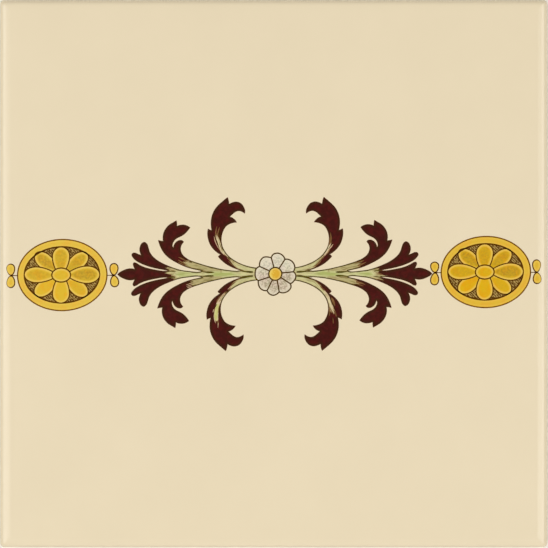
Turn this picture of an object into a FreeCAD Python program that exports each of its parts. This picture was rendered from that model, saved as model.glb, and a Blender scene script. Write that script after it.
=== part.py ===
"""A square glazed wall tile for a border course, lying on its back with its face up.

The tile is pressed from clay dust and fired as one piece. Its face is flat with a rolled
edge, its sides lean in a little towards the back so that it leaves the die, and its back
has a grid of shallow pockets that key into the adhesive. Lengths are in millimetres. The
origin is at the middle of the back, with +Z towards the face and +Y towards the top of
the tile as it is hung.
"""

import FreeCAD
import Part

import math
import os

# Driving dimensions of the pressed body
FACE_SIZE = 152.0  # side of the square, at its widest just under the rolled edge
THICKNESS = 7.0  # from the back's ribs to the face
EDGE_ROLL = 1.8  # radius of the roll from the face into the sides
CORNER_RADIUS = 1.0  # of the upright corners
SIDE_DRAFT_DEG = 1.0  # lean of the sides towards the back
BACK_ARRIS = 0.5  # chamfer where the sides meet the back

# Driving dimensions of the key on the back
KEY_BORDER = 9.2  # from the tile's edge to the outermost pockets
KEY_ACROSS = 10  # pockets in a row
KEY_RIB = 2.4  # width of the ribs between the pockets
KEY_DEPTH = 0.8  # depth of the pockets
KEY_WALL_DEG = 30.0  # lean of a pocket's walls from upright

# From one pocket to the next
key_pitch = (FACE_SIZE - 2 * KEY_BORDER + KEY_RIB) / KEY_ACROSS

UP = FreeCAD.Vector(0, 0, 1)
ORIGIN = FreeCAD.Vector(0, 0, 0)


def rounded_square(side, corner, height):
    """A level wire about the Z axis: a square with round corners."""
    half = side / 2
    straight = half - corner
    on_arc = straight + corner * math.sqrt(0.5)
    side_start = FreeCAD.Vector(half, -straight, height)
    side_end = FreeCAD.Vector(half, straight, height)
    arc_middle = FreeCAD.Vector(on_arc, on_arc, height)
    arc_end = FreeCAD.Vector(straight, half, height)
    quarter = [
        Part.LineSegment(side_start, side_end).toShape(),
        Part.Arc(side_end, arc_middle, arc_end).toShape(),
    ]
    return Part.Wire([edge.rotated(ORIGIN, UP, 90 * turn) for turn in range(4) for edge in quarter])


def edges_at(shape, height):
    """The edges of a shape that lie wholly at one level."""
    tolerance = 1e-6
    levels = [(edge, edge.BoundBox.ZMin, edge.BoundBox.ZMax) for edge in shape.Edges]
    return [edge for edge, low, high in levels if max(abs(low - height), abs(high - height)) < tolerance]


def pressed_blank():
    """The tile before it is keyed: leaning sides, the face's rolled edge and the back's arris."""
    lean = math.tan(math.radians(SIDE_DRAFT_DEG))
    back_inset = (THICKNESS - EDGE_ROLL) * lean
    face_outset = EDGE_ROLL * lean
    back = rounded_square(FACE_SIZE - 2 * back_inset, CORNER_RADIUS - back_inset, 0)
    face = rounded_square(FACE_SIZE + 2 * face_outset, CORNER_RADIUS + face_outset, THICKNESS)
    as_solid, ruled = True, True
    block = Part.makeLoft([back, face], as_solid, ruled)
    rolled = block.makeFillet(EDGE_ROLL, edges_at(block, THICKNESS))
    return rolled.makeChamfer(BACK_ARRIS, edges_at(rolled, 0))


def key_pocket():
    """One pocket to be taken out of the back, at its middle: a square mouth and a smaller floor."""
    mouth = (key_pitch - KEY_RIB) / 2
    floor = mouth - KEY_DEPTH * math.tan(math.radians(KEY_WALL_DEG))
    pocket = Part.makeWedge(-mouth, 0, -mouth, -floor, -floor, mouth, KEY_DEPTH, mouth, floor, floor)
    return pocket.rotated(ORIGIN, FreeCAD.Vector(1, 0, 0), 90)


def key_grid():
    """All the pockets, in a square grid about the middle of the back."""
    places = [(step - (KEY_ACROSS - 1) / 2) * key_pitch for step in range(KEY_ACROSS)]
    pocket = key_pocket()
    return [pocket.translated(FreeCAD.Vector(x, y, 0)) for x in places for y in places]


def tile():
    """The whole tile as one solid."""
    return pressed_blank().cut(key_grid())


os.makedirs("parts", exist_ok=True)
tile().exportStep("parts/tile.step")
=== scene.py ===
"""The looks of a square glazed wall tile that carries a printed border band.

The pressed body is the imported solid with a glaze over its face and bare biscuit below. The
print is thin films of enamel on the face: leaf sprays, a daisy, two oval medallions and
beads. Outlines are in millimetres on the print's own axes, x along the band and y up. One
quarter of the leafwork is drawn and mirrored into the others, and the engraved strokes that
shade a leaf differ from quarter to quarter.
"""

import math

import bpy
import numpy as np
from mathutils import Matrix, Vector
from mathutils.geometry import delaunay_2d_cdt, interpolate_bezier


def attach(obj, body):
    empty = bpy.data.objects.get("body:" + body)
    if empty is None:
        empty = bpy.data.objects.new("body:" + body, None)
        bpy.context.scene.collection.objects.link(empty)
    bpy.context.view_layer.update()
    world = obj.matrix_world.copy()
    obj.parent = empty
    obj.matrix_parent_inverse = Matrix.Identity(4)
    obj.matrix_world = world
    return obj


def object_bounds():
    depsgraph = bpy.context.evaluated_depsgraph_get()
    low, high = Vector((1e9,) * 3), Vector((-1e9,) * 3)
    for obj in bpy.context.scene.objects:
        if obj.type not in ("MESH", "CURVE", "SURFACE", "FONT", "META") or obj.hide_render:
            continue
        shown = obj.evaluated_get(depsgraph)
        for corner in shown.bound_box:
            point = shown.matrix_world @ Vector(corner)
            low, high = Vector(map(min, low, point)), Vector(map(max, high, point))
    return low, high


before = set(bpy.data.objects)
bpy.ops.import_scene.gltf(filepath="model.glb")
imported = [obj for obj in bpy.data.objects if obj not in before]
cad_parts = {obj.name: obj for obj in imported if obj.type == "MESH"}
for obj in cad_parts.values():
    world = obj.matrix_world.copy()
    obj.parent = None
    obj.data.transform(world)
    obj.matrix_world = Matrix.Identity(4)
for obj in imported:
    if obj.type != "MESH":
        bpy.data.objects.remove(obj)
cad_low, cad_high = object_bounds()

MM = 0.001
FACE_HEIGHT = cad_high.z / MM
FACE_SIZE = (cad_high.x - cad_low.x) / MM
# The radius of the roll from the face into the sides
EDGE_ROLL = 1.8

# How deep the skin of the glaze waves, and the soft fall of the glaze towards the edge roll
SKIN_RELIEF = 0.03
FALL_START = 3.1
FALL_END = 1.4
FALL_DEPTH = 0.05
# The levels on the sides between which the glaze's lower edge wanders
LOWEST_GLAZE = 2.6
HIGHEST_GLAZE = 4.2
# How strongly the glaze mirrors the light, and how strongly printed lines do
GLAZE_SHEEN = 0.5
INK_SHEEN = 0.12

# Where the print lies on the face: its middle, its two axes and its size
PRINT_MIDDLE = Vector((0.306, -0.1365))
PRINT_RIGHT = Vector((1.0, 0.0024))
PRINT_UP = Vector((0.0117, 0.9973))
PRINT_SIZE = 0.9981

# Heights over the face of the enamel's sunken underside and of its coats, each over the one before
SUNK = -0.01
GROUND_COAT = 0.006
SPRAY_COAT = 0.0075
SECOND_COAT = 0.009
THIRD_COAT = 0.012
INK_COAT = 0.015
TOP_COAT = 0.018
TOP_INK = 0.021
HEART_COAT = 0.024
HEART_INK = 0.027

# How finely curves and films are divided
CURVE_STEP = 0.25
GRID_STEP = 0.42
EDGE_BAND = 0.3

# Widths of the printed key lines, and how far printed ink spreads past a drawn outline
KEY_LINE = 0.36
GROUND_LINE = 0.43
PETAL_LINE = 0.32
INK_SPREAD = 0.057

# How far the light in a leaf frays before it ends, and how much it frays all along
FRAY_LENGTH = 4.0
LEAST_FRAY = 0.55
# Steps that keep the streaks of one light apart from those of the others
LIGHT_GAP = 60.0
SIDE_GAP = 150.0
ROW_GAP = 300.0
SPRAY_GAP = 1000.0
# How far from the daisy stems run together, and where the lines between them are whole
ROOT_LENGTH = 8.4
CLEAR_LENGTH = 10.4
ROOT_HEIGHT = 0.85
CLEAR_HEIGHT = 1.15

# The quarters of the print: their sides of the two axes
QUARTERS = {
    "upper_right": (1, 1),
    "upper_left": (-1, 1),
    "lower_right": (1, -1),
    "lower_left": (-1, -1),
}


# Curves and outlines

def through(knots):
    """Closely spaced points on a smooth curve through its knots."""
    knots = [Vector(knot) for knot in knots]
    spans = [after - before for before, after in zip(knots, knots[1:])]
    lengths = [span.length for span in spans]
    paces = [span / length for span, length in zip(spans, lengths)]
    slopes = [
        (paces[k] * lengths[k + 1] + paces[k + 1] * lengths[k]) / (lengths[k] + lengths[k + 1])
        for k in range(len(spans) - 1)
    ]
    first = 2 * paces[0] - slopes[0] if slopes else paces[0]
    last = 2 * paces[-1] - slopes[-1] if slopes else paces[-1]
    slopes = [first, *slopes, last]
    curve = []
    for k, length in enumerate(lengths):
        count = max(2, math.ceil(length / CURVE_STEP) + 1)
        leaving = knots[k] + slopes[k] * length / 3
        arriving = knots[k + 1] - slopes[k + 1] * length / 3
        curve += interpolate_bezier(knots[k], leaving, arriving, knots[k + 1], count)[:-1]
    return [*curve, knots[-1]]


def chained(corner, strokes):
    """Points along strokes, each from the corner where the last one ended, short of the very end."""
    points = []
    for stroke in strokes:
        points += through([corner, *stroke])[:-1]
        corner = stroke[-1]
    return points


def outline(strokes):
    """A closed outline of strokes, which starts where the last of them ends."""
    return chained(strokes[-1][-1], strokes)


def ellipse(middle, across, up):
    """A closed ellipse about a middle, from its two half widths."""
    count = math.ceil(math.tau * max(across, up) / CURVE_STEP)
    turns = [math.tau * k / count for k in range(count)]
    return [Vector((middle[0] + across * math.cos(t), middle[1] + up * math.sin(t))) for t in turns]


def egg(base, tip, half_width, fullness):
    """A closed egg from its narrow end to its round end, wider towards the round end."""
    base, tip = Vector(base), Vector(tip)
    half_length = (tip - base) / 2
    sideways = half_length.normalized().orthogonal() * half_width
    count = math.ceil(math.tau * half_length.length / CURVE_STEP)
    turns = [math.tau * k / count for k in range(count)]
    middle = (base + tip) / 2
    return [
        middle + half_length * math.cos(t) + sideways * math.sin(t) * (1 + fullness * math.cos(t))
        for t in turns
    ]


def petal(base, tip, base_half, widest_half):
    """A closed petal that flares from its base and has a round end."""
    base, tip = Vector(base), Vector(tip)
    axis = tip - base
    sideways = axis.normalized().orthogonal()
    widest = 0.6
    slimness = 0.85
    steps = math.ceil(axis.length / CURVE_STEP)
    angles = [math.pi / 2 * k / steps for k in range(steps)]
    swells = [(widest_half - base_half) * math.sin(a) ** slimness for a in angles]
    flare = [(widest * k / steps, base_half + swell) for k, swell in enumerate(swells)]
    end = [(widest + (1 - widest) * math.sin(a), widest_half * math.cos(a)) for a in angles]
    left = [base + axis * share + sideways * half for share, half in flare + end]
    right = [base + axis * share - sideways * half for share, half in flare + end]
    return [*left, tip, *reversed(right)]


def let_out(ring, reach):
    """A closed outline let out all round by a reach."""
    turning = sum(a.x * b.y - a.y * b.x for a, b in zip(ring, [*ring[1:], ring[0]]))
    outward = math.copysign(reach, turning)
    wider = []
    for k, point in enumerate(ring):
        along = (ring[(k + 1) % len(ring)] - ring[k - 1]).normalized()
        wider.append(point + Vector((along.y, -along.x)) * outward)
    return wider


def mirrored(points, side, up):
    """Points of the drawn quarter, with any width that they carry, in another quarter."""
    return [Vector((point[0] * side, point[1] * up, *point[2:])) for point in points]


def moved(points, place):
    """Points shifted to a place on the print."""
    return [Vector((point[0] + place[0], point[1] + place[1])) for point in points]


# Films and lines of enamel

def on_face(point, height):
    """A point of the print as a point of the scene, at a height over the face."""
    flat = PRINT_MIDDLE + (PRINT_RIGHT * point[0] + PRINT_UP * point[1]) * PRINT_SIZE
    return (flat.x * MM, flat.y * MM, (FACE_HEIGHT + height) * MM)


def table(points):
    """Points as the rows of an array."""
    return np.array([tuple(point) for point in points])


def distances(points, others):
    """Every distance from one set of points to another, as a table."""
    return np.linalg.norm(points[:, None, :] - others[None, :, :], axis=2)


def filling(rim):
    """Points that divide a film inside its rim: a row beside the rim and a grid of triangles."""
    behind = np.roll(rim, 1, axis=0)
    ahead = np.roll(rim, -1, axis=0)
    along = ahead - behind
    along /= np.linalg.norm(along, axis=1)[:, None]
    aside = np.stack([-along[:, 1], along[:, 0]], axis=1) * EDGE_BAND
    row = np.concatenate([rim + aside, rim - aside])
    nearly = 0.95
    row = row[distances(row, rim).min(axis=1) > nearly * EDGE_BAND]
    low, high = rim.min(axis=0), rim.max(axis=0)
    levels = np.arange(low[1], high[1], GRID_STEP * math.sqrt(0.75))
    columns = np.arange(low[0], high[0], GRID_STEP)
    grid = np.array([(x + GRID_STEP / 2 * (k % 2), y) for k, y in enumerate(levels) for x in columns])
    grid = grid[distances(grid, rim).min(axis=1) > EDGE_BAND + GRID_STEP / 2]
    return [Vector(point) for point in (*row, *grid)]


def slab(name, flat, faces, height, material, fields):
    """A thin closed slab of enamel from a flat mesh, fired onto the face."""
    count = len(flat)
    top = [on_face(point, height) for point in flat]
    bottom = [on_face(point, SUNK) for point in flat]
    sides = {(a, b) for face in faces for a, b in zip(face, (*face[1:], face[0]))}
    walls = [(a, a + count, b + count, b) for a, b in sides if (b, a) not in sides]
    under = [tuple(corner + count for corner in reversed(face)) for face in faces]
    mesh = bpy.data.meshes.new(name)
    mesh.from_pydata(top + bottom, [], [*faces, *under, *walls])
    for field, values in fields.items():
        layer = mesh.attributes.new(field, "FLOAT", "POINT")
        layer.data.foreach_set("value", np.concatenate([values, values]).astype(np.float32))
    mesh.materials.append(material)
    mesh.validate()
    piece = bpy.data.objects.new(name, mesh)
    bpy.context.collection.objects.link(piece)
    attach(piece, "root")


def film(name, rings, height, material, fields_at=None):
    """A film of enamel inside closed outlines, an outline within another being a hole."""
    inside_with_holes = 2
    tolerance = 1e-5
    points, edges = [], []
    for ring in rings:
        start = len(points)
        points += ring
        edges += [(start + k, start + (k + 1) % len(ring)) for k in range(len(ring))]
    rim = table(points)
    for ring in rings:
        points += filling(table(ring))
    corners, _, triangles, *_ = delaunay_2d_cdt(points, edges, [], inside_with_holes, tolerance)
    used = sorted({corner for triangle in triangles for corner in triangle})
    place = {corner: k for k, corner in enumerate(used)}
    flat = [corners[corner] for corner in used]
    faces = [tuple(place[corner] for corner in triangle) for triangle in triangles]
    places = table(flat)
    fields = {"edge": distances(places, rim).min(axis=1)}
    if fields_at:
        fields.update(fields_at(places))
    slab(name, flat, faces, height, material, fields)


def ribbon(points, widths, closed):
    """A flat strip along a line: its points in pairs, left and right, and its faces."""
    count = len(points)
    pairs = []
    for k, point in enumerate(points):
        behind = points[k - 1] if closed or k > 0 else point
        ahead = points[(k + 1) % count] if closed or k < count - 1 else point
        aside = (ahead - behind).normalized().orthogonal() * widths[k] / 2
        pairs += [point + aside, point - aside]
    last = count if closed else count - 1
    faces = []
    for k in range(last):
        left, right = 2 * k, 2 * k + 1
        next_left, next_right = 2 * ((k + 1) % count), 2 * ((k + 1) % count) + 1
        faces.append((left, right, next_right, next_left))
    return pairs, faces


def line_work(name, lines, height, material):
    """Lines of ink as one piece, each a list of points with their widths, open or closed."""
    flat, faces = [], []
    for points, widths, closed in lines:
        pairs, strips = ribbon(points, widths, closed)
        faces += [tuple(corner + len(flat) for corner in strip) for strip in strips]
        flat += pairs
    slab(name, flat, faces, height, material, {})


def closed_line(ring, width):
    """A line of one width round a closed outline."""
    return ring, [width] * len(ring), True


def swelled_line(knots):
    """A line through knots that each give a place and a width."""
    thinnest = 0.02
    curve = through(knots)
    points = [Vector(point[:2]) for point in curve]
    widths = [max(point[2], thinnest) for point in curve]
    return points, widths, False


# Materials

def ink(red, green, blue):
    """A colour as it shows in daylight, out of 255, as the linear colour of a shader."""
    shares = [value / 255 for value in (red, green, blue)]
    linear = [s / 12.92 if s <= 0.04045 else ((s + 0.055) / 1.055) ** 2.4 for s in shares]
    return (*linear, 1.0)


OXBLOOD = ink(64, 10, 2)
OXBLOOD_RED = ink(86, 15, 9)
LEAF_GREEN = ink(172, 178, 102)
STEM_GREEN = ink(211, 208, 149)
STEM_OLIVE = ink(206, 192, 138)
STRAW = ink(168, 156, 98)
STEM_TAN = ink(180, 164, 112)
STEM_BUFF = ink(188, 168, 116)
STEM_CREAM = ink(229, 213, 168)
STEM_ROSE = ink(216, 188, 152)
STEM_HATCH = ink(120, 104, 48)
TAN = ink(150, 112, 64)
BROWN = ink(98, 58, 26)
OLIVE_LINE = ink(74, 60, 8)
DARK_LINE = ink(58, 25, 0)
LEAF_FRINGE = ink(96, 47, 25)


class Paint:
    """A material, with one short method for each kind of node that it is painted with."""

    def __init__(self, name):
        self.material = bpy.data.materials.new(name)
        self.material.use_nodes = True
        self.tree = self.material.node_tree
        self.shader = self.tree.nodes["Principled BSDF"]

    def set(self, socket, value):
        """Gives a socket a constant, or a link from another node."""
        if isinstance(value, bpy.types.NodeSocket):
            self.tree.links.new(value, socket)
        else:
            socket.default_value = value

    def node(self, kind, *values):
        """A new node with its first inputs given in order."""
        made = self.tree.nodes.new(kind)
        for socket, value in zip(made.inputs, values):
            self.set(socket, value)
        return made

    def field(self, name):
        """A value stored on the mesh."""
        made = self.node("ShaderNodeAttribute")
        made.attribute_name = name
        return made.outputs["Fac"]

    def place(self):
        """The place on the object, in metres."""
        return self.node("ShaderNodeTexCoord").outputs["Object"]

    def parts(self, vector):
        """The x, y and z of a vector."""
        return self.node("ShaderNodeSeparateXYZ", vector).outputs

    def vector(self, x, y, z):
        """A vector of three values."""
        return self.node("ShaderNodeCombineXYZ", x, y, z).outputs[0]

    def maths(self, operation, *values):
        """A sum on values."""
        made = self.node("ShaderNodeMath", *values)
        made.operation = operation
        return made.outputs[0]

    def product(self, *values):
        """Several values multiplied together."""
        made = values[0]
        for value in values[1:]:
            made = self.maths("MULTIPLY", made, value)
        return made

    def noise(self, vector, scale, detail=2.0):
        """Soft noise from 0 to 1."""
        made = self.node("ShaderNodeTexNoise", vector)
        made.inputs["Scale"].default_value = scale
        made.inputs["Detail"].default_value = detail
        return made.outputs["Fac"]

    def between(self, value, low, high):
        """How far a value is from low to high, from 0 to 1, easing in and out."""
        made = self.node("ShaderNodeMapRange", value, low, high)
        made.interpolation_type = "SMOOTHSTEP"
        return made.outputs[0]

    def stretched(self, value, low, high, start, end):
        """A value from low to high, carried onto start to end."""
        return self.node("ShaderNodeMapRange", value, low, high, start, end).outputs[0]

    def mix(self, share, first, second):
        """Two colours mixed by a share of the second."""
        made = self.tree.nodes.new("ShaderNodeMix")
        made.data_type = "RGBA"
        colours = [socket for socket in made.inputs if socket.type == "RGBA"]
        self.set(made.inputs[0], share)
        self.set(colours[0], first)
        self.set(colours[1], second)
        return next(socket for socket in made.outputs if socket.type == "RGBA")

    def ramp(self, value, stops):
        """A colour read from stops, each at a value from 0 to 1."""
        made = self.node("ShaderNodeValToRGB", value)
        stones = made.color_ramp.elements
        while len(stones) < len(stops):
            stones.new(0.5)
        for stone, (position, colour) in zip(stones, stops):
            stone.position = position
            stone.color = colour
        return made.outputs["Color"]

    def bump(self, height, distance):
        """A bumped normal from heights, which are shares of a distance."""
        made = self.tree.nodes.new("ShaderNodeBump")
        made.inputs["Distance"].default_value = distance
        self.set(made.inputs["Height"], height)
        return made.outputs["Normal"]

    def finish(self, colour, roughness, normal=None, sheen=GLAZE_SHEEN):
        """Joins colour, roughness, bump and sheen to the shader."""
        self.set(self.shader.inputs["Base Color"], colour)
        self.set(self.shader.inputs["Roughness"], roughness)
        self.set(self.shader.inputs["Specular IOR Level"], sheen)
        if normal:
            self.set(self.shader.inputs["Normal"], normal)
        return self.material


def glaze_gloss(paint, place):
    """The roughness of fired glaze, dulled unevenly."""
    return paint.stretched(paint.noise(place, 400.0, 3.0), 0.0, 1.0, 0.08, 0.2)


def glaze_waves(paint, place):
    """The very slight waviness of fired glaze, from 0 to 1."""
    return paint.noise(place, 90.0)


def under_glaze(paint, place, colour, sheen=GLAZE_SHEEN):
    """The material of a printed colour, with the skin of the glaze."""
    normal = paint.bump(glaze_waves(paint, place), SKIN_RELIEF * MM)
    return paint.finish(colour, glaze_gloss(paint, place), normal, sheen)


def glazed_body():
    """Cream glaze on the face and over the roll, ending unevenly on the sides above bare biscuit."""
    paint = Paint("glazed_body")
    place = paint.place()
    x, y, height = paint.parts(place)
    mottle = paint.noise(place, 60.0, 3.0)
    cream = paint.ramp(mottle, [(0.3, ink(232, 216, 183)), (0.7, ink(234, 218, 185))])
    grain = paint.noise(place, 1500.0, 4.0)
    biscuit = paint.ramp(grain, [(0.35, ink(206, 190, 164)), (0.65, ink(226, 214, 192))])
    drip = paint.noise(place, 140.0)
    lower_edge = paint.stretched(drip, 0.3, 0.7, LOWEST_GLAZE * MM, HIGHEST_GLAZE * MM)
    over = paint.maths("SUBTRACT", height, lower_edge)
    glazed = paint.between(over, -0.1 * MM, 0.1 * MM)
    colour = paint.mix(glazed, biscuit, cream)
    roughness = paint.stretched(glazed, 0.0, 1.0, 0.85, glaze_gloss(paint, place))
    skin = paint.mix(glazed, grain, glaze_waves(paint, place))
    from_middle = paint.maths("MAXIMUM", paint.maths("ABSOLUTE", x), paint.maths("ABSOLUTE", y))
    half = FACE_SIZE / 2
    falling = paint.between(from_middle, (half - FALL_START) * MM, (half - FALL_END) * MM)
    relief = paint.maths("SUBTRACT", skin, paint.product(falling, FALL_DEPTH / SKIN_RELIEF))
    return paint.finish(colour, roughness, paint.bump(relief, SKIN_RELIEF * MM))


def light_flow(paint, stretch):
    """The place along and across a leaf's light, stretched across it so that noise runs in streaks."""
    return paint.vector(paint.product(paint.field("across"), stretch), paint.field("along"), 0.0)


def stem_light(paint, tone, hue, fray, flow):
    """Pale stems, green, tan or cream by their hue, that fray in streaks into oxblood."""
    streaks = paint.stretched(paint.noise(flow, 0.27), 0.3, 0.7, -0.6, 0.6)
    frayed = paint.maths("ADD", tone, paint.product(streaks, fray))
    depth = paint.stretched(frayed, -1.6, 0.8, 0.0, 1.0)
    dark_stops = [(0.66, TAN), (0.71, BROWN), (0.78, OXBLOOD)]
    green = paint.ramp(depth, [(0.12, LEAF_GREEN), (0.38, STEM_GREEN), (0.6, STEM_OLIVE), *dark_stops])
    tan = paint.ramp(depth, [(0.12, STRAW), (0.38, STEM_TAN), (0.6, STEM_BUFF), *dark_stops])
    cream = paint.ramp(depth, [(0.42, STEM_CREAM), (0.6, STEM_ROSE), *dark_stops])
    creamy = paint.stretched(hue, 0.0, -1.0, 0.0, 1.0)
    return paint.mix(creamy, paint.mix(hue, green, tan), cream)


def stem_hatching(paint, leaf, tone, hue, fray, flow):
    """A leaf with fine olive lines along its stem and brown ones where its light frays."""
    on_stem = paint.product(paint.between(tone, 0.2, -0.1), paint.between(tone, -1.3, -0.5))
    hatching = paint.between(paint.noise(light_flow(paint, 7.0), 0.33, 1.0), 0.5, 0.6)
    hatched = paint.product(hatching, on_stem, paint.stretched(hue, 0.0, 1.0, 0.3, 0.75))
    leaf = paint.mix(hatched, leaf, STEM_HATCH)
    loose = paint.product(paint.between(fray, 0.4, 0.9), paint.between(tone, 0.4, -0.3))
    engraved = paint.product(paint.between(paint.noise(flow, 0.3, 1.0), 0.52, 0.58), loose, 0.55)
    return paint.mix(engraved, leaf, BROWN)


def leaf_edges(paint, leaf, tone, place, cloud):
    """A leaf with a dark shade inside its edge, olive lines beside its stem and a brown fringe."""
    edge = paint.field("edge")
    rim = paint.maths("ADD", edge, paint.stretched(cloud, 0.3, 0.7, -0.05, 0.05))
    on_leaf = paint.between(tone, -0.1, 0.3)
    shaded = paint.product(paint.between(rim, 1.0, 0.25), on_leaf)
    leaf = paint.mix(shaded, leaf, DARK_LINE)
    x, y, _ = paint.parts(place)
    clear_along = paint.between(paint.maths("ABSOLUTE", x), ROOT_LENGTH * MM, CLEAR_LENGTH * MM)
    clear_across = paint.between(paint.maths("ABSOLUTE", y), ROOT_HEIGHT * MM, CLEAR_HEIGHT * MM)
    clear_of_root = paint.maths("MAXIMUM", clear_along, clear_across)
    lined = paint.product(paint.between(rim, 0.4, 0.24), paint.between(tone, 0.3, -0.1), clear_of_root)
    leaf = paint.mix(lined, leaf, OLIVE_LINE)
    fringe = paint.product(paint.between(edge, 0.18, 0.06), on_leaf)
    return paint.mix(fringe, leaf, LEAF_FRINGE)


def leaf_enamel():
    """Oxblood leaves with red clouds, on pale stems."""
    paint = Paint("leaf_enamel")
    place = paint.place()
    tone = paint.field("tone")
    hue = paint.field("hue")
    fray = paint.field("fray")
    flow = light_flow(paint, 12.0)
    leaf = stem_light(paint, tone, hue, fray, flow)
    leaf = stem_hatching(paint, leaf, tone, hue, fray, flow)
    cloud = paint.noise(place, 900.0, 3.0)
    red = paint.product(paint.between(cloud, 0.38, 0.66), paint.between(tone, 0.2, 0.6), 0.6)
    leaf = paint.mix(red, leaf, OXBLOOD_RED)
    return under_glaze(paint, place, leaf_edges(paint, leaf, tone, place, cloud))


def gold_enamel(name, inner_pale, edge_pale):
    """Yellow gold with orange clouds and olive dots, paler by a share within and one at its edge."""
    paint = Paint(name)
    place = paint.place()
    edge = paint.field("edge")
    reach = 50.0 * MM
    deeper = paint.between(paint.parts(place)[0], -reach, reach)
    clouds = paint.noise(place, 480.0, 4.0)
    yellow = paint.mix(deeper, ink(226, 185, 46), ink(223, 176, 14))
    orange = paint.mix(deeper, ink(231, 176, 36), ink(228, 166, 3))
    gold = paint.mix(paint.between(clouds, 0.42, 0.66), yellow, orange)
    dots = paint.stretched(paint.noise(place, 1700.0), 0.35, 0.65, 0.45, 1.0)
    olive = paint.product(paint.field("tint"), dots, paint.between(edge, 0.35, 1.3))
    gold = paint.mix(olive, gold, ink(146, 116, 34))
    pale = paint.stretched(paint.between(edge, 0.9, 0.35), 0.0, 1.0, inner_pale, edge_pale)
    return under_glaze(paint, place, paint.mix(pale, gold, ink(238, 208, 112)))


def golds():
    """The gold of the medallions' rims, of their petals and of the beads."""
    return {
        "rim": gold_enamel("rim_gold", 0.2, 0.3),
        "petal": gold_enamel("petal_gold", 0.0, 0.45),
        "bead": gold_enamel("bead_gold", 0.15, 0.4),
    }


def disc_enamel():
    """The daisy's disc: orange, yellow towards its left, paler at its rim, and dotted."""
    paint = Paint("disc_enamel")
    place = paint.place()
    x = paint.parts(place)[0]
    dots = paint.stretched(paint.noise(place, 1900.0), 0.3, 0.7, -1.0 * MM, 1.0 * MM)
    leftward = paint.maths("SUBTRACT", dots, x)
    gold = paint.mix(paint.between(leftward, -1.0 * MM, 1.6 * MM), ink(220, 170, 50), ink(230, 198, 84))
    rim = paint.product(paint.between(paint.field("edge"), 0.8, 0.25), 0.5)
    return under_glaze(paint, place, paint.mix(rim, gold, ink(238, 214, 128)))


def hatched_enamel():
    """The olive brown ground between petals, hatched with fine paler lines."""
    paint = Paint("hatched_enamel")
    place = paint.place()
    x, y, _ = paint.parts(place)
    hatch_rate = 8500.0
    slant = paint.product(paint.maths("ADD", x, y), hatch_rate)
    stripe = paint.product(paint.maths("SINE", slant), 0.6)
    rough = paint.stretched(paint.noise(place, 2000.0), 0.3, 0.7, -1.4, 1.4)
    share = paint.between(paint.maths("ADD", stripe, rough), -0.85, 1.3)
    colour = paint.mix(share, ink(82, 49, 0), ink(181, 150, 84))
    return under_glaze(paint, place, colour, INK_SHEEN)


def white_enamel():
    """Grey white petals, dotted and in faint hues, the lower ones browner, paler at their ends."""
    paint = Paint("white_enamel")
    place = paint.place()
    _, y, _ = paint.parts(place)
    clouds = paint.noise(place, 420.0)
    dots = paint.between(paint.noise(place, 2500.0), 0.42, 0.61)
    upper = paint.mix(dots, ink(232, 222, 195), ink(198, 190, 168))
    lower = paint.mix(dots, ink(216, 200, 172), ink(160, 138, 112))
    wander = paint.stretched(clouds, 0.3, 0.7, -1.2 * MM, 1.2 * MM)
    low_share = paint.between(paint.maths("ADD", y, wander), 2.4 * MM, -1.6 * MM)
    white = paint.mix(low_share, upper, lower)
    hues = paint.ramp(clouds, [(0.36, ink(198, 202, 164)), (0.64, ink(220, 190, 180))])
    tinted = paint.mix(0.25, white, hues)
    ends = paint.product(paint.between(paint.field("edge"), 1.4, 0.3), 0.65)
    return under_glaze(paint, place, paint.mix(ends, tinted, ink(231, 220, 192)))


def line_ink(name, darker, paler):
    """An ink for lines, a little uneven between two colours."""
    paint = Paint(name)
    place = paint.place()
    colour = paint.ramp(paint.noise(place, 900.0), [(0.3, darker), (0.7, paler)])
    return under_glaze(paint, place, colour, INK_SHEEN)


def key_inks():
    """The brown inks of the key lines, outside the medallions and inside them."""
    return {
        "outer": line_ink("outer_key_ink", ink(104, 62, 0), ink(128, 86, 4)),
        "inner": line_ink("inner_key_ink", ink(72, 38, 0), ink(98, 60, 2)),
    }


def daisy_ink():
    """The dark olive brown ink of the daisy's lines."""
    return line_ink("daisy_ink", ink(62, 40, 0), ink(86, 60, 8))


def stem_ink():
    """The olive ink of the wedges between stems."""
    return line_ink("stem_ink", ink(70, 60, 8), ink(98, 88, 30))


def leaf_inks():
    """The inks of the engraved strokes on the leaves, by how dark they are."""
    return {
        "green": line_ink("green_stroke_ink", ink(194, 189, 112), ink(210, 205, 136)),
        "dark": line_ink("dark_stroke_ink", ink(48, 26, 2), ink(68, 40, 6)),
        "brown": line_ink("brown_stroke_ink", ink(100, 68, 34), ink(132, 96, 58)),
        "pale": line_ink("pale_stroke_ink", ink(184, 146, 112), ink(212, 182, 144)),
    }


# Engraved strokes and the light in the leaves

# The coat that each ink of strokes lies in, and its slot
STROKE_COATS = {
    "green": (SECOND_COAT, "print_green"),
    "brown": (SECOND_COAT, "print_olive"),
    "dark": (THIRD_COAT, "print_oxblood"),
    "pale": (INK_COAT, "print_green"),
}


def engraving(name, strokes, side, up, inks):
    """Swelled strokes in one quarter, one piece for each of their inks."""
    for shade, drawn in strokes.items():
        coat, slot = STROKE_COATS[shade]
        lines = [swelled_line(mirrored(knots, side, up)) for knots in drawn]
        line_work(f"{name}_{shade}_strokes", lines, coat, inks[shade])


def narrowed(knots, end, taper):
    """Knots of a light, narrowed so that it runs out at an end along the band."""
    return [(x, y, min(half, (end - x) * taper)) for x, y, half in knots]


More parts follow.
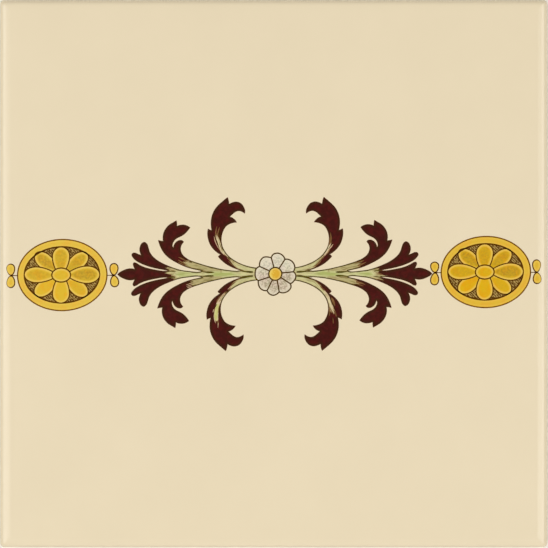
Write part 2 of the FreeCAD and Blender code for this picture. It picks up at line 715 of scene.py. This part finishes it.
def light_fields(lights, offset):
    """A function that gives a leaf film's fields from its lights, each a hue and knots.

    The tone is the distance outside the nearest light, and the fray is how loosely the light
    ends there.
    """
    samples, alongs, headings, frays, hues = [], [], [], [], []
    start = offset
    for hue, knots in lights:
        curve = table(through(knots))
        steps = np.diff(curve[:, :2], axis=0)
        lengths = np.linalg.norm(steps, axis=1)
        travelled = np.concatenate([[0.0], np.cumsum(lengths)])
        reach = travelled[curve[:, 2] > 0].max()
        samples.append(curve)
        alongs.append(start + travelled)
        headings.append(np.concatenate([steps / lengths[:, None], steps[-1:] / lengths[-1]]))
        frays.append(np.clip(1 - (reach - travelled) / FRAY_LENGTH, LEAST_FRAY, 1.0))
        hues.append(np.full(len(curve), hue))
        start += LIGHT_GAP
    joined = [np.concatenate(rows) for rows in (samples, alongs, headings, frays, hues)]
    samples, alongs, headings, frays, hues = joined

    def fields_at(places):
        """The fields at places on the film, read from the nearest light."""
        outside = distances(places, samples[:, :2]) - samples[:, 2]
        nearest = outside.argmin(axis=1)
        away = places - samples[nearest, :2]
        heading = headings[nearest]
        across = heading[:, 0] * away[:, 1] - heading[:, 1] * away[:, 0]
        return {
            "tone": outside.min(axis=1),
            "along": alongs[nearest],
            "across": across,
            "fray": frays[nearest],
            "hue": hues[nearest],
        }

    return fields_at


# The scroll leaf beside the daisy, as the strokes of its outline

SCROLL_LEAF = [
    [(5.6, 1.8), (7.0, 2.05), (8.5, 2.5), (10.0, 3.1), (11.5, 3.95), (12.85, 5.0),
     (13.85, 6.2), (14.55, 7.5), (14.93, 9.2), (14.85, 10.8), (14.4, 12.2), (13.65, 13.35),
     (12.4, 14.1), (10.75, 14.4)],
    [(11.2, 15.05), (11.9, 15.65), (12.7, 15.95)],
    [(12.0, 16.65), (11.1, 17.35), (10.3, 17.6), (9.5, 17.45), (8.53, 16.85)],
    [(8.5, 17.7), (8.95, 18.85), (9.75, 19.75), (11.0, 20.12), (12.2, 19.85), (12.93, 19.48)],
    [(13.05, 20.35), (13.36, 21.4)],
    [(15.0, 20.02), (16.1, 19.0), (16.95, 17.85), (17.55, 16.5), (17.87, 15.0), (17.88, 13.7),
     (17.64, 12.18)],
    [(18.15, 12.33), (18.68, 12.66)],
    [(18.83, 11.4), (18.62, 9.8), (18.1, 8.35), (17.2, 7.05), (16.2, 6.12), (15.08, 5.4)],
    [(15.5, 5.2), (15.78, 4.85)],
    [(15.0, 4.0), (14.0, 3.13), (13.0, 2.47), (12.0, 1.95), (11.0, 1.52), (10.0, 1.2), (8.5, 0.88),
     (7.0, 0.64), (5.6, 0.48), (4.3, 0.4)],
    [(4.3, 1.62)],
]
# The light of its stem, from a root that all four have, with a place and a half width at each knot
SCROLL_ROOT = [(4.0, 1.05, 0.85), (8.0, 1.5, 0.8), (9.6, 2.1, 0.75)]
SCROLL_STEMS = {
    "upper_right": [
        (10.7, 2.55, 0.72), (11.87, 3.62, 0.46), (12.94, 4.72, 0.32), (13.9, 5.8, 0.42),
        (14.6, 6.9, 0.4),
    ],
    "upper_left": [
        (10.84, 2.69, 0.66), (11.75, 3.7, 0.42), (12.9, 4.8, 0.26), (13.9, 5.85, 0.44), (14.7, 7.0, 0.4),
    ],
    "lower_right": [
        (10.65, 2.45, 0.8), (11.75, 3.2, 0.74), (12.7, 4.2, 0.56), (13.75, 5.35, 0.5), (14.6, 6.6, 0.4),
    ],
    "lower_left": [
        (10.79, 2.78, 0.6), (11.75, 3.75, 0.36), (12.85, 4.85, 0.12), (13.85, 5.85, 0.34),
        (14.7, 7.0, 0.4),
    ],
}
SCROLL_STEM_HUE = 0.2
# The light that goes on from the stem into the leaf
SCROLL_TOPS = {
    "upper_right": [
        (13.3, 5.1, 0.36), (13.9, 5.8, 0.46), (14.75, 7.12, 0.46), (15.15, 7.9, 0.34),
        (15.35, 8.4, 0.1), (15.45, 8.9, -0.1), (15.6, 9.5, -0.3),
    ],
    "upper_left": [
        (13.2, 5.05, 0.3), (13.9, 5.85, 0.48), (14.95, 7.15, 0.42), (15.5, 8.4, 0.48),
        (15.85, 9.4, 0.55), (16.2, 10.2, 0.48), (16.4, 10.8, 0.28), (16.5, 11.4, -0.1),
    ],
    "lower_right": [
        (13.3, 4.8, 0.5), (14.3, 6.0, 0.52), (15.0, 7.2, 0.48), (15.4, 8.2, 0.45), (15.7, 9.1, 0.6),
        (16.2, 9.9, 0.55), (16.6, 10.5, 0.28), (16.8, 11.1, -0.1),
    ],
    "lower_left": [
        (13.4, 5.35, 0.28), (13.9, 5.85, 0.4), (14.9, 7.05, 0.46), (15.45, 8.0, 0.48),
        (15.78, 8.9, 0.56), (16.05, 10.2, 0.58), (16.15, 11.4, 0.58), (16.12, 12.3, 0.5),
        (16.0, 12.9, 0.32), (15.9, 13.4, 0.05), (15.85, 14.2, -0.25),
    ],
}
SCROLL_TOP_HUES = {"upper_right": -1.0, "upper_left": -0.6, "lower_right": -0.7, "lower_left": -0.9}
# Strokes of each quarter, with a place and a width at each knot
SCROLL_STROKES = {
    "upper_right": {
        "brown": [
            [(10.5, 1.95, 0.1), (11.4, 2.45, 0.35), (12.25, 3.12, 0.42), (12.9, 3.9, 0.08)],
            [(15.15, 8.3, 0.25), (15.3, 9.1, 0.65), (15.45, 10.0, 0.6), (15.4, 10.8, 0.35),
             (15.3, 11.6, 0.06)],
        ],
        "dark": [[(14.75, 6.95, 0.1), (15.35, 7.75, 0.2), (15.85, 8.6, 0.22)]],
        "pale": [[(15.15, 7.0, 0.1), (15.7, 7.7, 0.26), (16.1, 8.3, 0.08)]],
    },
    "upper_left": {
        "brown": [
            [(11.6, 2.4, 0.08), (12.35, 3.05, 0.32), (12.9, 3.6, 0.05)],
            [(14.5, 6.5, 0.05), (15.0, 7.4, 0.16), (15.45, 8.5, 0.14), (15.7, 9.4, 0.05)],
            [(16.1, 10.8, 0.2), (15.85, 11.8, 0.3), (15.5, 13.1, 0.08)],
            [(16.6, 10.9, 0.2), (16.5, 12.0, 0.32), (16.25, 13.3, 0.08)],
        ],
        "dark": [
            [(14.95, 8.2, 0.08), (15.15, 9.4, 0.25), (15.45, 10.6, 0.5), (15.5, 11.6, 0.45),
             (15.5, 12.4, 0.1)],
            [(15.55, 7.3, 0.1), (16.05, 8.4, 0.24), (16.5, 9.5, 0.22), (16.75, 10.6, 0.08)],
        ],
        "pale": [[(15.85, 7.4, 0.08), (16.4, 8.5, 0.2), (16.8, 9.6, 0.2), (17.0, 10.6, 0.06)]],
    },
    "lower_right": {
        "brown": [
            [(11.3, 1.95, 0.06), (12.0, 2.55, 0.28), (12.6, 3.2, 0.06)],
            [(12.5, 3.2, 0.1), (13.1, 3.9, 0.35), (13.7, 4.6, 0.08)],
            [(15.7, 6.6, 0.1), (16.15, 7.3, 0.6), (16.55, 8.2, 0.5), (16.8, 8.9, 0.1)],
            [(15.25, 9.7, 0.3), (15.3, 10.6, 0.4), (15.3, 11.7, 0.06)],
            [(16.95, 10.6, 0.1), (17.1, 11.3, 0.26), (17.2, 12.0, 0.06)],
            [(16.3, 12.2, 0.06), (16.35, 13.0, 0.24), (16.4, 13.9, 0.05)],
        ],
        "dark": [[(15.3, 6.4, 0.1), (15.75, 7.6, 0.28), (16.4, 8.9, 0.3), (16.9, 10.4, 0.14)]],
    },
    "lower_left": {
        "green": [
            [(15.6, 8.3, 0.3), (15.9, 9.1, 0.75), (16.12, 10.3, 0.85), (16.2, 11.5, 0.85),
             (16.15, 12.4, 0.65), (16.0, 13.0, 0.3)],
        ],
        "brown": [
            [(10.6, 2.0, 0.08), (11.6, 2.75, 0.3), (12.6, 3.75, 0.08)],
            [(14.6, 5.75, 0.08), (15.5, 6.75, 0.36), (16.2, 8.1, 0.08)],
            [(15.55, 13.2, 0.35), (15.55, 13.8, 0.3), (15.6, 14.9, 0.05)],
        ],
        "dark": [
            [(15.0, 8.4, 0.08), (15.2, 9.6, 0.32), (15.4, 11.2, 0.32), (15.5, 12.4, 0.08)],
            [(15.9, 8.3, 0.06), (16.3, 8.9, 0.2), (16.6, 9.6, 0.06)],
        ],
        "pale": [
            [(11.9, 3.3, 0.05), (12.5, 3.8, 0.25), (13.0, 4.3, 0.05)],
            [(14.9, 6.8, 0.08), (15.4, 7.4, 0.25), (15.85, 8.0, 0.08)],
            [(16.75, 9.7, 0.06), (16.95, 10.2, 0.18), (17.0, 10.7, 0.06)],
            [(15.55, 13.6, 0.12), (15.6, 14.3, 0.14), (15.62, 15.0, 0.04)],
        ],
    },
}


def scroll_leaf(where, paint, inks):
    """One of the four large scrolled leaves beside the daisy."""
    side, up = QUARTERS[where]
    name = f"scroll_leaf_{where}"
    ring = let_out(mirrored(outline(SCROLL_LEAF), side, up), INK_SPREAD)
    lights = [
        (SCROLL_STEM_HUE, mirrored(SCROLL_ROOT + SCROLL_STEMS[where], side, up)),
        (SCROLL_TOP_HUES[where], mirrored(SCROLL_TOPS[where], side, up)),
    ]
    offset = SIDE_GAP * side + ROW_GAP * up
    film(name, [ring], GROUND_COAT, paint, light_fields(lights, offset))
    engraving(name, SCROLL_STROKES[where], side, up, inks)


# A leaf spray: the upper half of its outline, from the daisy to the middle leaf's tip on the axis

SPRAY_ROOT = (4.3, 0.36)
SPRAY = [
    [(6.2, 0.44), (8.0, 0.55), (9.5, 0.76), (11.0, 0.86), (12.5, 1.02), (14.0, 1.22), (15.5, 1.5),
     (17.0, 1.85), (19.0, 2.34), (21.0, 2.96), (22.5, 3.44), (23.7, 3.92), (24.7, 4.53), (25.5, 5.2),
     (26.05, 6.1), (26.25, 7.15), (26.0, 8.15), (25.4, 8.95)],
    [(25.75, 9.35), (26.4, 9.48), (27.2, 9.2), (27.8, 8.65), (28.15, 7.95), (28.3, 7.35)],
    [(28.52, 7.8), (28.42, 8.6), (28.0, 9.4), (27.3, 10.02), (26.4, 10.45), (25.4, 11.05),
     (24.55, 11.85), (23.7, 13.0)],
    [(24.4, 13.45), (25.4, 13.75), (26.4, 13.7), (27.35, 13.4)],
    [(27.35, 14.1), (27.5, 14.95)],
    [(28.5, 14.35), (29.4, 13.8), (30.25, 12.95), (30.9, 11.85), (31.2, 10.6), (31.1, 9.25)],
    [(31.8, 9.32), (32.5, 9.5)],
    [(32.1, 8.25), (31.5, 6.92), (30.7, 5.73), (29.6, 4.66), (28.3, 3.76), (27.0, 3.06), (25.5, 2.34),
     (24.0, 1.78), (22.5, 1.38), (21.2, 1.1), (20.2, 0.85)],
    [(21.2, 0.62), (22.5, 0.66), (24.0, 0.84), (26.0, 1.12), (28.0, 1.72), (30.0, 2.5), (31.5, 3.2),
     (33.0, 4.15), (34.15, 5.2), (34.85, 6.3), (35.2, 7.45), (35.6, 8.45), (36.3, 8.98), (37.05, 8.6),
     (37.5, 7.75), (37.63, 6.85), (37.45, 5.95), (37.1, 5.25)],
    [(38.0, 5.62), (38.9, 5.98), (39.55, 5.88), (39.8, 5.4), (39.4, 4.6), (38.5, 3.75), (37.4, 3.12),
     (36.0, 2.52), (34.0, 1.9), (32.0, 1.45), (30.6, 1.2), (29.4, 0.9)],
    [(31.0, 0.9), (33.0, 1.2), (35.0, 1.62), (36.5, 2.08), (37.7, 2.65), (38.6, 3.18), (39.15, 3.28),
     (39.42, 2.75)],
    [(39.15, 2.0), (38.87, 1.42)],
    [(39.9, 1.62), (41.0, 1.5), (42.1, 1.1), (43.15, 0.52), (43.68, 0.0)],
]
# The lights of the stem on the axis, of a mid stem, of a flank leaf and beside the middle leaf's rib
SPRAY_LIGHTS = {
    "axis": [
        (4.0, 0.0, 0.75), (9.0, 0.0, 0.75), (12.0, 0.0, 1.3), (14.5, 0.0, 1.6), (16.5, 0.0, 1.5),
        (18.5, 0.0, 0.8), (22.0, 0.0, 0.95), (25.0, 0.0, 1.4), (26.5, 0.0, 1.4), (27.6, 0.0, 0.8),
        (28.5, 0.0, 0.1), (29.5, 0.0, -0.3),
    ],
    "mid": [
        (15.0, 0.6, 1.1), (18.0, 1.3, 0.95), (20.0, 1.75, 0.95), (21.5, 2.15, 0.97), (22.8, 2.5, 0.97),
        (24.2, 3.0, 0.9), (25.6, 3.7, 0.8),
    ],
    "flank": [
        (25.0, 0.5, 0.7), (26.5, 0.85, 0.65), (28.0, 1.2, 0.5), (29.5, 1.65, 0.4), (31.0, 2.2, 0.3),
    ],
    "rib": [(26.0, 0.25, 0.6), (28.0, 0.45, 0.5), (29.5, 0.5, 0.4), (31.0, 0.5, 0.3)],
}
SPRAY_HUES = {"axis": 0.0, "mid": 0.85, "flank": 0.5, "rib": 0.4}
LIGHT_TAPER = 0.9
# How far along the band each quarter's lights run
SPRAY_ENDS = {
    "upper_right": {"mid": 23.8, "flank": 28.9, "rib": 28.7},
    "upper_left": {"mid": 25.0, "flank": 29.8, "rib": 30.0},
    "lower_right": {"mid": 23.1, "flank": 29.7, "rib": 30.8},
    "lower_left": {"mid": 23.6, "flank": 28.2, "rib": 28.4},
}
SPRAY_STROKES = {
    "upper_right": {
        "brown": [
            [(23.0, 2.3, 0.3), (23.8, 2.6, 0.5), (24.6, 2.9, 0.3), (25.4, 3.3, 0.06)],
            [(23.2, 3.3, 0.3), (23.9, 3.5, 0.35), (24.8, 3.7, 0.06)],
        ],
        "dark": [
            [(22.9, 3.65, 0.1), (23.6, 3.8, 0.3), (24.4, 4.1, 0.2)],
            [(23.3, 2.95, 0.08), (23.7, 3.05, 0.28), (24.1, 3.2, 0.1)],
        ],
    },
    "upper_left": {
        "brown": [
            [(24.4, 3.4, 0.1), (25.4, 4.1, 0.35), (26.9, 4.75, 0.08)],
            [(24.6, 2.7, 0.1), (25.6, 3.2, 0.35), (26.9, 4.0, 0.08)],
            [(25.0, 2.4, 0.08), (26.0, 2.9, 0.25), (27.0, 3.4, 0.06)],
        ],
        "dark": [[(23.0, 3.2, 0.05), (23.5, 3.4, 0.3), (24.0, 3.5, 0.05)]],
    },
    "lower_right": {
        "brown": [
            [(22.6, 2.2, 0.3), (23.6, 2.5, 0.5), (24.5, 2.75, 0.3), (25.2, 3.1, 0.06)],
            [(22.8, 2.9, 0.3), (23.6, 3.1, 0.35), (24.6, 3.4, 0.06)],
        ],
        "dark": [[(22.0, 2.9, 0.06), (22.6, 3.0, 0.32), (23.4, 3.3, 0.2)]],
    },
    "lower_left": {
        "dark": [
            [(22.6, 3.1, 0.05), (23.2, 3.2, 0.25), (24.2, 3.6, 0.15)],
            [(22.7, 2.65, 0.05), (23.3, 2.8, 0.22), (24.3, 3.1, 0.15)],
            [(22.5, 1.9, 0.05), (23.3, 2.2, 0.25), (24.4, 2.6, 0.2)],
        ],
        "pale": [
            [(23.0, 3.4, 0.1), (23.6, 3.55, 0.2), (24.3, 3.8, 0.05)],
            [(23.0, 2.9, 0.1), (23.7, 3.15, 0.2), (24.5, 3.4, 0.05)],
            [(23.0, 2.4, 0.1), (23.8, 2.7, 0.2), (24.6, 3.0, 0.05)],
        ],
    },
}
# The dark wedges where two stems part, with a place and a width at each knot
STEM_WEDGES = [
    [(6.05, 0.56, 0.4), (6.6, 0.57, 0.52), (7.6, 0.62, 0.46), (8.6, 0.74, 0.36), (9.6, 0.92, 0.2),
     (10.4, 1.05, 0.05)],
    [(16.8, 0.5, 0.05), (17.5, 0.5, 0.48), (18.4, 0.5, 0.52), (19.4, 0.58, 0.34), (20.4, 0.75, 0.12)],
    [(27.4, 0.75, 0.05), (28.1, 0.82, 0.28), (28.8, 0.86, 0.24), (29.6, 0.9, 0.08)],
]


def spray(side, paint, inks, wedge_ink):
    """The stems and leaves between the daisy and a medallion: both halves as one film."""
    name = f"spray_{'right' if side > 0 else 'left'}"
    upper = chained(SPRAY_ROOT, SPRAY)
    tip = SPRAY[-1][-1]
    lower = mirrored(reversed(upper), 1, -1)
    ring = let_out(mirrored([*upper, tip, *lower], side, 1), INK_SPREAD)
    lights = [(SPRAY_HUES["axis"], mirrored(SPRAY_LIGHTS["axis"], side, 1))]
    wedges = []
    for where, (its_side, up) in QUARTERS.items():
        if its_side == side:
            for part, end in SPRAY_ENDS[where].items():
                knots = narrowed(SPRAY_LIGHTS[part], end, LIGHT_TAPER)
                lights.append((SPRAY_HUES[part], mirrored(knots, side, up)))
            wedges += [swelled_line(mirrored(knots, side, up)) for knots in STEM_WEDGES]
            engraving(f"spray_{where}", SPRAY_STROKES[where], side, up, inks)
    film(name, [ring], SPRAY_COAT, paint, light_fields(lights, SPRAY_GAP * side))
    line_work(f"{name}_wedges", wedges, INK_COAT, wedge_ink)


# The medallions, about their own middle, with the half widths of the rim and of the ground in it

MEDALLION_PLACES = {"left": (-59.02, -0.155), "right": (58.61, 0.405)}
MEDALLION_RIM = (12.4, 9.9)
MEDALLION_GROUND = (10.42, 7.8)
GROUND_SHIFT = (-0.1, 0.05)
# The heart's middle and its half widths
MEDALLION_HEART = ((-0.3, 0.0), 2.6, 1.95)
# Each petal's base, its tip, its half widths at its base and at its widest, and its share of olive
BACK_PETALS = [
    ((1.2, 1.2), (6.74, 5.8), 0.8, 1.95, 0.5),
    ((1.14, -1.14), (6.81, -5.5), 0.35, 1.9, 0.2),
    ((-1.44, -1.08), (-7.37, -5.3), 0.3, 1.97, 0.05),
    ((-1.54, 1.12), (-7.32, 5.85), 0.4, 1.95, 0.6),
]
FRONT_PETALS = [
    ((-0.48, 1.7), (-0.35, 7.67), 1.3, 2.24, 0.4),
    ((2.0, 0.1), (10.25, 0.08), 0.6, 2.25, 0.6),
    ((-0.29, -1.7), (-0.31, -7.66), 1.3, 2.2, 0.05),
    ((-2.6, -0.05), (-10.4, 0.2), 0.75, 2.03, 0.35),
]
RIM_OLIVE = 0.1


def even_tint(share):
    """A function that gives the same share of olive dots all over a gold film."""
    return lambda places: {"tint": np.full(len(places), share)}


def petals(name, drawn, place, coat, ink_coat, gold, ink_paint):
    """One set of a medallion's petals, with lines just outside them as one piece."""
    lines = []
    for number, (base, tip, base_half, widest_half, olive) in enumerate(drawn, 1):
        ring = let_out(moved(petal(base, tip, base_half, widest_half), place), PETAL_LINE / 2)
        film(f"{name}_petal_{number}", [ring], coat, gold, even_tint(olive))
        lines.append(closed_line(ring, PETAL_LINE))
    line_work(f"{name}_petal_lines", lines, ink_coat, ink_paint)


def medallion(where, gold, ground, inks):
    """One oval medallion: a gold rim round a hatched ground with eight petals and a heart."""
    place = MEDALLION_PLACES[where]
    name = f"medallion_{where}"
    inner_ink = inks["inner"]
    rim = moved(ellipse((0, 0), *MEDALLION_RIM), place)
    inner = moved(ellipse(GROUND_SHIFT, *MEDALLION_GROUND), place)
    film(f"{name}_rim", [rim, inner], GROUND_COAT, gold["rim"], even_tint(RIM_OLIVE))
    film(f"{name}_ground", [inner], SECOND_COAT, ground)
    line_work(f"{name}_rim_line", [closed_line(rim, KEY_LINE)], INK_COAT, inks["outer"])
    line_work(f"{name}_ground_line", [closed_line(inner, GROUND_LINE)], INK_COAT, inner_ink)
    petals(f"{name}_back", BACK_PETALS, place, THIRD_COAT, INK_COAT, gold["petal"], inner_ink)
    petals(f"{name}_front", FRONT_PETALS, place, TOP_COAT, TOP_INK, gold["petal"], inner_ink)
    heart = moved(ellipse(*MEDALLION_HEART), place)
    film(f"{name}_heart", [heart], HEART_COAT, gold["petal"], even_tint(RIM_OLIVE))
    line_work(f"{name}_heart_line", [closed_line(heart, KEY_LINE)], HEART_INK, inner_ink)


# The daisy in the middle: where its petals join, where they leave the disc, and their round ends

DAISY_PLACE = (0.13, -0.05)
DAISY_MIDDLE = (0.0, 0.08)
DAISY_DISC = 1.8
DAISY_LINE = 0.37
DAISY_ROOTS = [
    (-0.4, 1.85), (1.05, 1.6), (1.85, 0.33), (1.55, -0.92),
    (0.57, -1.7), (-0.8, -1.62), (-1.7, -0.8), (-1.7, 0.95),
]
DAISY_JOINS = [
    (-1.15, 4.55), (2.65, 4.15), (5.0, 0.65), (4.25, -2.7),
    (1.15, -4.95), (-2.2, -4.55), (-4.7, -1.8), (-4.35, 2.15),
]
DAISY_ENDS = [
    [(-0.75, 5.4), (0.6, 5.85), (2.1, 5.1)],
    [(3.5, 4.12), (4.75, 3.4), (5.4, 2.0)],
    [(5.6, 0.0), (5.7, -0.9), (5.1, -2.0)],
    [(4.4, -3.6), (3.5, -4.8), (2.1, -5.2)],
    [(0.7, -5.4), (-0.5, -5.87), (-1.75, -5.3)],
    [(-3.2, -4.5), (-4.2, -3.8), (-4.65, -2.7)],
    [(-5.3, -1.2), (-5.6, 0.2), (-5.25, 1.6)],
    [(-4.35, 3.2), (-3.3, 4.7), (-1.9, 4.75)],
]


def daisy(white, disc_paint, ink_paint):
    """The eight petalled daisy over the stems' roots."""
    finishes = [*DAISY_JOINS[1:], DAISY_JOINS[0]]
    ring = moved(outline([[*end, finish] for end, finish in zip(DAISY_ENDS, finishes)]), DAISY_PLACE)
    film("daisy_petals", [ring], SECOND_COAT, white)
    lines = [closed_line(ring, DAISY_LINE)]
    for root, join in zip(moved(DAISY_ROOTS, DAISY_PLACE), moved(DAISY_JOINS, DAISY_PLACE)):
        lines.append(swelled_line([(*root, DAISY_LINE), (*join, DAISY_LINE)]))
    line_work("daisy_lines", lines, INK_COAT, ink_paint)
    disc = moved(ellipse(DAISY_MIDDLE, DAISY_DISC, DAISY_DISC), DAISY_PLACE)
    film("daisy_disc", [disc], TOP_COAT, disc_paint)
    line_work("daisy_disc_line", [closed_line(disc, DAISY_LINE)], TOP_INK, ink_paint)


# The pairs of beads beside the medallions: where a pair meets, and its two beads' tips from there

BEAD_PAIRS = {
    "left_outer": ((-73.23, -0.28), (-0.25, 3.2), (-0.14, -3.33)),
    "left_inner": ((-44.68, -0.265), (0.0, 3.28), (0.37, -3.17)),
    "right_inner": ((44.51, 0.26), (-0.22, 2.94), (-0.17, -3.39)),
    "right_outer": ((72.75, 0.28), (-0.1, 3.47), (0.27, -3.12)),
}
BEAD_START = 0.1
BEAD_HALF_WIDTH = 1.1
BEAD_FULLNESS = 0.2
BEAD_OLIVE = 0.15
BEAD_LINE = 0.32
# How much of a line is left on the side of an outer bead that is next to the tile's edge, thinned there
# as a painted highlight of the edge roll
EDGE_HIGHLIGHT_SHARE = 0.4
# Widths of the line from a pair to its medallion, where the beads meet and beyond
LINK_KNOT = 0.5
LINK_LINE = 0.26


def bead_line(ring, place, highlight_side):
    """The line round a bead, thinner towards one side of it as a painted highlight: left -1, right 1 or
    neither 0.
    """
    facing = [max(0.0, highlight_side * (point.x - place[0]) / BEAD_HALF_WIDTH) for point in ring]
    widths = [BEAD_LINE * (1 - (1 - EDGE_HIGHLIGHT_SHARE) * min(1.0, turned)) for turned in facing]
    return ring, widths, True


def beads(gold, ink_paint):
    """Pairs of egg shaped beads on the axis, each joined to its medallion by a line."""
    for where, (place, upper_tip, lower_tip) in BEAD_PAIRS.items():
        # An outer bead's line thins towards the tile's edge: a painted highlight of the edge roll
        highlight_side = math.copysign(1, place[0]) if where.endswith("outer") else 0
        lines = []
        for row, tip in (("upper", upper_tip), ("lower", lower_tip)):
            base = (0, math.copysign(BEAD_START, tip[1]))
            ring = moved(egg(base, tip, BEAD_HALF_WIDTH, BEAD_FULLNESS), place)
            film(f"bead_{where}_{row}", [ring], GROUND_COAT, gold, even_tint(BEAD_OLIVE))
            lines.append(bead_line(ring, place, highlight_side))
        centre = MEDALLION_PLACES[where.split("_")[0]]
        rim = centre[0] + math.copysign(MEDALLION_RIM[0], place[0] - centre[0])
        half_way = (place[0] + rim) / 2
        link = [(*place, LINK_KNOT), (half_way, place[1], LINK_LINE), (rim, place[1], LINK_LINE)]
        lines.append(swelled_line(link))
        line_work(f"bead_{where}_lines", lines, INK_COAT, ink_paint)


# The studio: a pale floor, soft lamps at both sides and a camera straight above

def soft_lamp(name, place, size, radiance):
    """A square lamp of a given radiance, which faces the tile and stays out of the picture."""
    data = bpy.data.lights.new(name, "AREA")
    data.shape = "SQUARE"
    data.size = size
    data.energy = radiance * math.pi * size * size
    lamp = bpy.data.objects.new(name, data)
    lamp.location = place
    lamp.rotation_euler = Vector(place).to_track_quat("Z", "Y").to_euler()
    lamp.visible_camera = False
    bpy.context.collection.objects.link(lamp)


def lamps():
    """A big soft lamp high at each side, the left one a little brighter, and a dim one in front."""
    aside = 0.8
    forward = -0.1
    height = 1.0
    side_size = 1.2
    soft_lamp("lamp_left", (-aside, forward, height), side_size, 2.62)
    soft_lamp("lamp_right", (aside, forward, height), side_size, 2.42)
    front_size = 0.8
    soft_lamp("lamp_front", (0.0, -1.1, 0.5), front_size, 0.6)


def floor():
    """A wide pale floor under the tile."""
    paint = Paint("floor")
    speck = paint.noise(paint.place(), 40.0)
    colour = paint.ramp(speck, [(0.3, ink(243, 237, 224)), (0.7, ink(247, 241, 229))])
    half = 3.0
    matt = 0.9
    corners = [(-half, -half, 0), (half, -half, 0), (half, half, 0), (-half, half, 0)]
    mesh = bpy.data.meshes.new("floor")
    mesh.from_pydata(corners, [], [(0, 1, 2, 3)])
    mesh.materials.append(paint.finish(colour, matt))
    made = bpy.data.objects.new("floor", mesh)
    bpy.context.collection.objects.link(made)


def surroundings():
    """An even dim light from all round."""
    dim = 0.15
    white = (1.0, 1.0, 1.0, 1.0)
    world = bpy.data.worlds.new("studio")
    world.use_nodes = True
    background = world.node_tree.nodes["Background"]
    background.inputs["Color"].default_value = white
    background.inputs["Strength"].default_value = dim
    bpy.context.scene.world = world


def camera():
    """A long lens straight above the tile, which lies a little high and left in the picture."""
    image_pixels = 548
    tile_pixels = 546.8
    pixels_left = 0.3
    pixels_high = 0.5
    data = bpy.data.cameras.new("camera")
    data.lens = 150.0
    data.sensor_width = 36.0
    widest = FACE_HEIGHT - EDGE_ROLL
    pixel = FACE_SIZE / tile_pixels
    distance = image_pixels * pixel * data.lens / data.sensor_width
    made = bpy.data.objects.new("camera", data)
    place = Vector((pixels_left * pixel, -pixels_high * pixel, widest + distance))
    made.location = place * MM
    bpy.context.collection.objects.link(made)
    bpy.context.scene.camera = made


def build():
    """The tile's glaze, the print and the studio."""
    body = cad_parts["tile"]
    body.data.materials.clear()
    body.data.materials.append(glazed_body())
    leaf = leaf_enamel()
    inks = leaf_inks()
    gold = golds()
    ground = hatched_enamel()
    key = key_inks()
    wedge = stem_ink()
    for where in QUARTERS:
        scroll_leaf(where, leaf, inks)
    for side in (1, -1):
        spray(side, leaf, inks, wedge)
    for where in MEDALLION_PLACES:
        medallion(where, gold, ground, key)
    daisy(white_enamel(), disc_enamel(), daisy_ink())
    beads(gold["bead"], key["inner"])
    floor()
    lamps()
    surroundings()
    camera()


build()
bpy.context.scene.view_settings.view_transform = "Standard"
